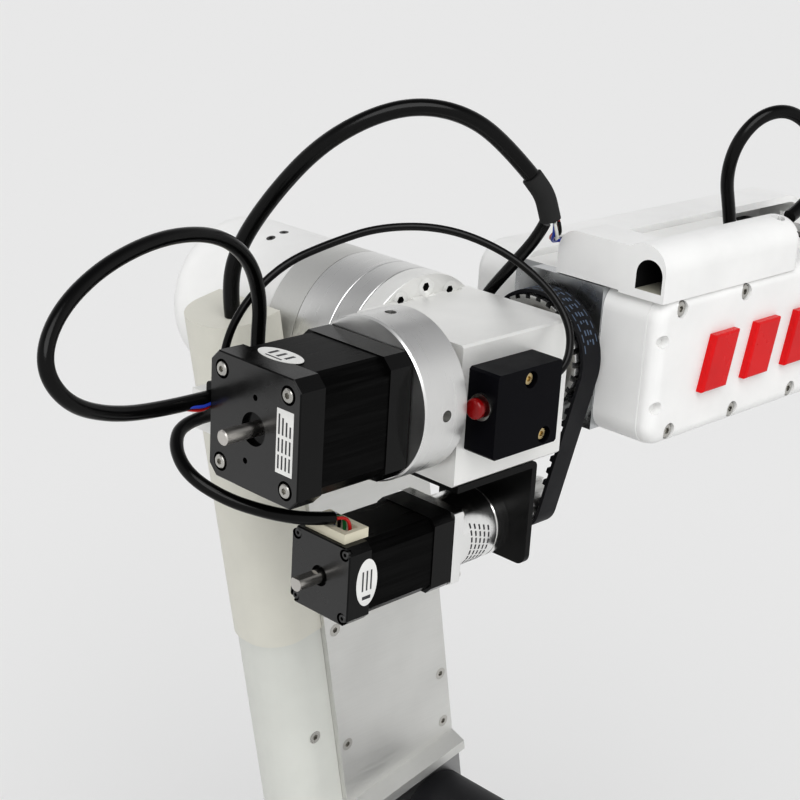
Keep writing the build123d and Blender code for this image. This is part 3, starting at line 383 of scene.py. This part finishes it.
def strands(name, points, radius, lay_radius, finishes, turns):
    """Thin wires lying round a route, as one mesh."""
    line = centreline(points)
    mesh = bmesh.new()
    sides = 8
    for index, finish in enumerate(finishes):
        rings = []
        for i, point in enumerate(line):
            ahead = line[min(i + 1, len(line) - 1)] - line[max(i - 1, 0)]
            ahead.normalize()
            across = ahead.cross(Y).normalized()
            over = across.cross(ahead)
            angle = 2 * math.pi * (index / len(finishes) + turns * i / (len(line) - 1))
            centre = point + (across * math.cos(angle) + over * math.sin(angle)) * lay_radius * MM
            ring = []
            for k in range(sides):
                a = 2 * math.pi * k / sides
                way = across * math.cos(a) + over * math.sin(a)
                ring.append(mesh.verts.new(centre + way * radius * MM))
            rings.append(ring)
        for near, far in zip(rings, rings[1:]):
            for k in range(sides):
                face = mesh.faces.new((near[k], near[(k + 1) % sides], far[(k + 1) % sides], far[k]))
                face.material_index = index
                face.smooth = True
        for ring in (rings[0][::-1], rings[-1]):
            mesh.faces.new(ring).material_index = index
    return as_piece(name, mesh, finishes), line


# name: (diameter, length in metres, points in the forearm frame)
CABLES = {
    "arm_cable": (6.0, 0.160, [
        (55.4, 77, 7.8), (52.8, 76.5, 21), (53.5, 71, 37), (59, 61, 55), (68, 50, 72),
        (80, 39, 83), (93, 29, 88), (106, 19, 86), (118, 11, 77.5), (128.4, 4.7, 64.5)]),
    "branch_cable": (4.4, 0.048, [
        (136.2, 3.0, 46.8), (135.6, 5.5, 41), (132.5, 13, 30), (131.3, 22.0, 18.5),
        (127.5, 23.2, 12.8), (121.0, 23.5, 10.0)]),
    "motor_loop": (5.0, 0.227, [
        (2.9, 24, 3), (-15, 24, 3), (-37, 22, 6), (-55, 20, 14), (-62, 22, 27), (-53, 27, 40),
        (-33, 32, 50), (-8, 35, 55), (15, 37, 52), (31, 40, 41), (38, 42, 25), (38, 43, 10),
        (38, 43, -5.9)]),
    "j4_motor_cable": (4.5, 0.087, [
        (33, -3, -37.6), (23, -1, -36), (12, 5, -33), (2, 15, -29), (-4, 27, -23),
        (-1, 38, -17), (8, 45, -13), (19.7, 45, -13)]),
    "switch_cable": (2.8, 0.190, [
        (28, 50, -5.8), (28.5, 50, 7), (36, 49, 22), (50, 45, 35), (67, 40, 41), (84, 33, 46),
        (100, 18, 47), (112, 1, 41), (118, -15, 31), (119, -26, 20), (115.5, -30, 9),
        (108, -30, 3.5), (102.2, -30, 3)]),
    "forearm_loop": (5.2, 0.127, [
        (238, -9, 27), (234, -8.5, 42), (227, -10, 56), (227, -13, 70), (235, -17, 80),
        (247, -22, 82), (257, -28, 74), (257, -34, 60), (246, -37, 50), (232.1, -37, 45)]),
    "junction_wires": (3.4, 0.039, [
        (136.7, -1.8, 48.2), (137.9, -2.1, 44.0), (142.0, 3.5, 40.3), (148.5, 8.0, 38.4),
        (154.0, 6.0, 38.0), (154.0, -9.0, 38.0)]),
}
CABLE_BODY = {"branch_cable": "elbow", "j4_motor_cable": "elbow", "switch_cable": "elbow",
              "forearm_loop": "forearm"}
CABLE_BLEND = {
    "arm_cable": ("arm", "elbow", (55, 77, 12), (110, 16, 84)),
    "motor_loop": ("forearm", "elbow", (-20, 23, 5), (36, 41, 22)),
}


def add_cables():
    for name, (diameter, length, points) in CABLES.items():
        if name == "junction_wires":
            made, line = strands("wires_at_junction", points, 0.62, 1.05,
                                 ("wire_red", "wire_blue", "wire_white", "cable"), 0.6)
        elif name in CABLE_BLEND:
            line = centreline(points)
            made = as_mesh(spline_object("cable_" + name, points, diameter))
            made.data.materials.clear()
            made.data.materials.append(FINISH["cable"])
        else:
            line = None
            made = spline_object("cable_" + name, points, diameter)
            made.data.materials.append(FINISH["cable"])
        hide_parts(name)
        if name == "junction_wires":
            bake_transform(made)
        elif name in CABLE_BLEND:
            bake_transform(made)
        else:
            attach(made, CABLE_BODY[name])


# ---- labels and print -------------------------------------------------------------------
def patch(mesh, outline, centre, right, up, out, thick, index):
    """A thin flat plate: an outline in millimetres, drawn on right and up and thickened outwards."""
    low = [mesh.verts.new(centre + (right * a + up * b) * MM) for a, b in outline]
    high = [mesh.verts.new(v.co + out * thick * MM) for v in low]
    faces = [mesh.faces.new(high), mesh.faces.new(low[::-1])]
    for k in range(len(low)):
        faces.append(mesh.faces.new((low[k], low[(k + 1) % len(low)], high[(k + 1) % len(low)], high[k])))
    for face in faces:
        face.material_index = index


def flat_piece(name, parts, centre, right, up, body, finishes):
    """Plates on one flat face, as one piece: parts are (outline, lift, thickness, finish index)."""
    out = right.cross(up)
    mesh = bmesh.new()
    for outline, lift, thick, index in parts:
        patch(mesh, outline, centre + out * lift * MM, right, up, out, thick, index)
    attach(as_piece(name, mesh, finishes), body)


def oval(wide, high, steps=48, centre=(0.0, 0.0)):
    return [(centre[0] + wide / 2 * math.cos(2 * math.pi * k / steps),
             centre[1] + high / 2 * math.sin(2 * math.pi * k / steps)) for k in range(steps)]


def bar_outline(x, y, wide, high, slant=0.0):
    return [(x - wide / 2 - slant, y - high / 2), (x + wide / 2 - slant, y - high / 2),
            (x + wide / 2 + slant, y + high / 2), (x - wide / 2 + slant, y + high / 2)]


def oval_label(name, centre, right, up, wide, high, body):
    """An oval sticker with generic bars on it."""
    parts = [(oval(wide, high), 0.0, 0.14, 0)]
    for i in range(3):
        x = (i - 1) * wide * 0.2
        parts.append((bar_outline(x, high * 0.04, wide * 0.07, high * 0.42), 0.14, 0.04, 1))
    parts.append((bar_outline(0, -high * 0.32, wide * 0.4, high * 0.07), 0.14, 0.04, 1))
    flat_piece(name, parts, centre, right, up, body, ("paper", "ink"))


def rating_label():
    """The paper label on the rear of the J5 motor, with rows of plain dashes."""
    parts = [(bar_outline(0, 0, 7.6, 21.0), 0.0, 0.12, 0)]
    for row in range(4):
        x = -2.6 + 1.7 * row
        for low, high in ((-9, -4.5), (-3.5, 1.0), (2.2, 8.8 - row)):
            parts.append((bar_outline(x, (low + high) / 2, 0.7, high - low), 0.12, 0.03, 1))
    flat_piece("motor_rating_label", parts, place(0.0, -14.6, 0.0), -Y, Z, "forearm", ("paper", "ink"))


def dashes_round(name, centre, radius, rows, body, finish, thick=0.05):
    """Printed dashes on a cylinder along X: rows are (x, width, [(start, end) in degrees])."""
    mesh = bmesh.new()
    for x, wide, spans in rows:
        for start, end in spans:
            steps = max(2, int(abs(end - start) / 2.5))
            rim = []
            for k in range(steps + 1):
                a = math.radians(start + (end - start) * k / steps)
                way = Vector((0, math.cos(a), math.sin(a)))
                corners = []
                for r in (radius, radius + thick):
                    for side in (-0.5, 0.5):
                        corners.append(mesh.verts.new(centre + (X * (x + side * wide) + way * r) * MM))
                rim.append(corners)
            for near, far in zip(rim, rim[1:]):
                for a, b in ((0, 1), (1, 3), (3, 2), (2, 0)):
                    mesh.faces.new((near[a], near[b], far[b], far[a]))
            for end_ring in (rim[0], rim[-1]):
                mesh.faces.new([end_ring[k] for k in (0, 1, 3, 2)])
    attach(as_piece(name, mesh, (finish,)), body)


def add_labels():
    oval_label("motor_oval_label", place(12.1, 2.0, 21.15), -Y, X, 19.0, 9.5, "forearm")
    oval_label("small_motor_oval_label", place(39.0, -14.1, -58.5), X, Z, 9.5, 17.0, "elbow")
    rating_label()
    belt_rows = [(-3.4, 0.45, [(10 + 10 * k, 17 + 10 * k) for k in range(16)]),
                 (-1.3, 0.7, [(12 + 9 * k, 17 + 9 * k - (k % 3)) for k in range(17)]),
                 (0.2, 0.6, [(12 + 9 * k, 14 + 9 * k + 3 * (k % 2)) for k in range(17)]),
                 (1.6, 0.7, [(12 + 9 * k + (k % 2), 17 + 9 * k) for k in range(17)]),
                 (3.6, 0.35, [(8 + 12 * k, 15 + 12 * k) for k in range(13)])]
    dashes_round("belt_print", place(137.0, 0.0, 0.0), 23.2, belt_rows, "elbow", "print_grey")
    can_rows = [(2.2 * k, 0.7, [(150 + 11 * i + 3 * k, 158 + 11 * i + 3 * k) for i in range(9)])
                for k in range(5)]
    dashes_round("gearbox_print", place(91.0, 0.0, -58.9), 13.42, can_rows, "elbow", "ink", 0.04)


def add_exit_wires():
    """The thin wires beside the start of the J5 motor's cable."""
    for k, finish in enumerate(("wire_blue", "wire_red", "wire_green")):
        angle = math.radians(200 + 40 * k)
        y, z = math.cos(angle), math.sin(angle)
        points = [(2.9, 24 + 1.9 * y, 3 + 1.9 * z), (-0.5, 24 + 3.2 * y, 3 + 3.2 * z),
                  (-4.5, 24 + 3.0 * y, 3 + 3.0 * z), (-8.0, 24 + 1.8 * y, 3 + 1.8 * z)]
        made = spline_object("exit_wire_" + str(k + 1), points, 1.1)
        made.data.materials.append(FINISH[finish])
        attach(made, "forearm")


def add_connector_wires():
    """The thin wires between the J4 motor's connector and its cable."""
    for k, finish in enumerate(("wire_red", "wire_green", "cable", "wire_blue")):
        y = -5.5 + 2.6 * k
        points = [(38.5, y, -43.2), (38.6, y, -39.9),
                  (37.0, 0.5 * y - 1.0, -37.9), (33.4, 0.3 * y - 2.4, -37.6)]
        made = spline_object("connector_wire_" + str(k + 1), points, 1.2)
        made.data.materials.append(FINISH[finish])
        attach(made, "elbow")


# ---- studio -----------------------------------------------------------------------------
FLOOR_RADIUS = 40.0
FLOOR_DROP = 0.0005
FLOOR_SIDES = 96
SKY_STRENGTH = 0.84
SUN_STRENGTH = 1.6
SUN_ANGLE = math.radians(50)
SUN_WAY = Vector((0.55, 0.65, -0.95))


def add_studio():
    floor_mesh = bpy.data.meshes.new("floor")
    turns = [2 * math.pi * k / FLOOR_SIDES for k in range(FLOOR_SIDES)]
    rim = [(math.cos(a) * FLOOR_RADIUS, math.sin(a) * FLOOR_RADIUS, -FLOOR_DROP) for a in turns]
    floor_mesh.from_pydata(rim, [], [list(range(FLOOR_SIDES))])
    floor = bpy.data.objects.new("floor", floor_mesh)
    bpy.context.scene.collection.objects.link(floor)
    floor_mesh.materials.append(material("floor_paper", (0.86, 0.86, 0.855), 0.9, specular=0.1))

    world = bpy.data.worlds.new("studio")
    world.use_nodes = True
    nodes, links = world.node_tree.nodes, world.node_tree.links
    where = nodes.new("ShaderNodeTexCoord")
    split = nodes.new("ShaderNodeSeparateXYZ")
    ramp = nodes.new("ShaderNodeValToRGB")
    links.new(where.outputs["Generated"], split.inputs["Vector"])
    links.new(split.outputs["Z"], ramp.inputs["Fac"])
    ramp.color_ramp.elements[0].position = 0.0
    ramp.color_ramp.elements[0].color = (0.86, 0.86, 0.86, 1.0)
    ramp.color_ramp.elements[1].position = 0.9
    ramp.color_ramp.elements[1].color = (0.22, 0.22, 0.23, 1.0)
    middle = ramp.color_ramp.elements.new(0.45)
    middle.color = (0.80, 0.80, 0.80, 1.0)
    links.new(ramp.outputs["Color"], nodes["Background"].inputs["Color"])
    nodes["Background"].inputs["Strength"].default_value = SKY_STRENGTH
    bpy.context.scene.world = world

    sun = bpy.data.objects.new("soft_key", bpy.data.lights.new("soft_key", "SUN"))
    sun.data.energy = SUN_STRENGTH
    sun.data.angle = SUN_ANGLE
    sun.rotation_euler = SUN_WAY.to_track_quat("-Z", "Y").to_euler()
    bpy.context.scene.collection.objects.link(sun)


# ---- build ------------------------------------------------------------------------------
bpy.context.scene.view_settings.view_transform = "Standard"
bpy.context.scene.view_settings.look = "Medium High Contrast"
add_camera()
finish_nodes()
add_cables()
repaint("j5_motor", "lamination", lambda x, y, z: 10.2 < x < 37.4)
repaint("j4_motor", "lamination", lambda x, y, z: 40.9 < x < 70.4)
# the rear faces of both motors take the lighter, glossier enamel: painted sheen
repaint("j5_motor", "enamel_painted_sheen", lambda x, y, z: x < 0.1)
repaint("j4_motor", "enamel_painted_sheen", lambda x, y, z: x < 30.8)
repaint("elbow_screws", "brass", lambda x, y, z: y < -27.5 and 85 < x < 104 and z > -20)
repaint("elbow_screws", "screw_dark", lambda x, y, z: x < 34 and z < -40)
repaint("elbow_screws", "screw_pale", lambda x, y, z: y > 24 and z > -35 and x > 85)
# the flange screws' hexagon sockets are painted near black as shade
repaint("elbow_screws", "bore_painted_shade", in_flange_socket)
repaint("arm_screws", "screw_dark", lambda x, y, z: 96 < y < 110 and z > -60)
repaint("forearm_frame", "rear_block", lambda x, y, z: x < 153.5)
# the under face of the upper arm's shelf gets the darker aluminium as painted shade
repaint("upper_arm", "painted_shade_under_shelf", lambda x, y, z: z < -208 and 60.5 < y < 61.5)
# the walls of the duct's bore are painted near black as shade
repaint("forearm_cover_left", "bore_painted_shade", in_duct_bore)
# the bore's floor gets the dimmed beige grey: painted half shade
repaint("forearm_cover_left", "bore_floor_painted_shade", lambda x, y, z: in_duct_bore(x, y, z) and z < 29.8)
add_labels()
add_exit_wires()
add_connector_wires()
add_studio()
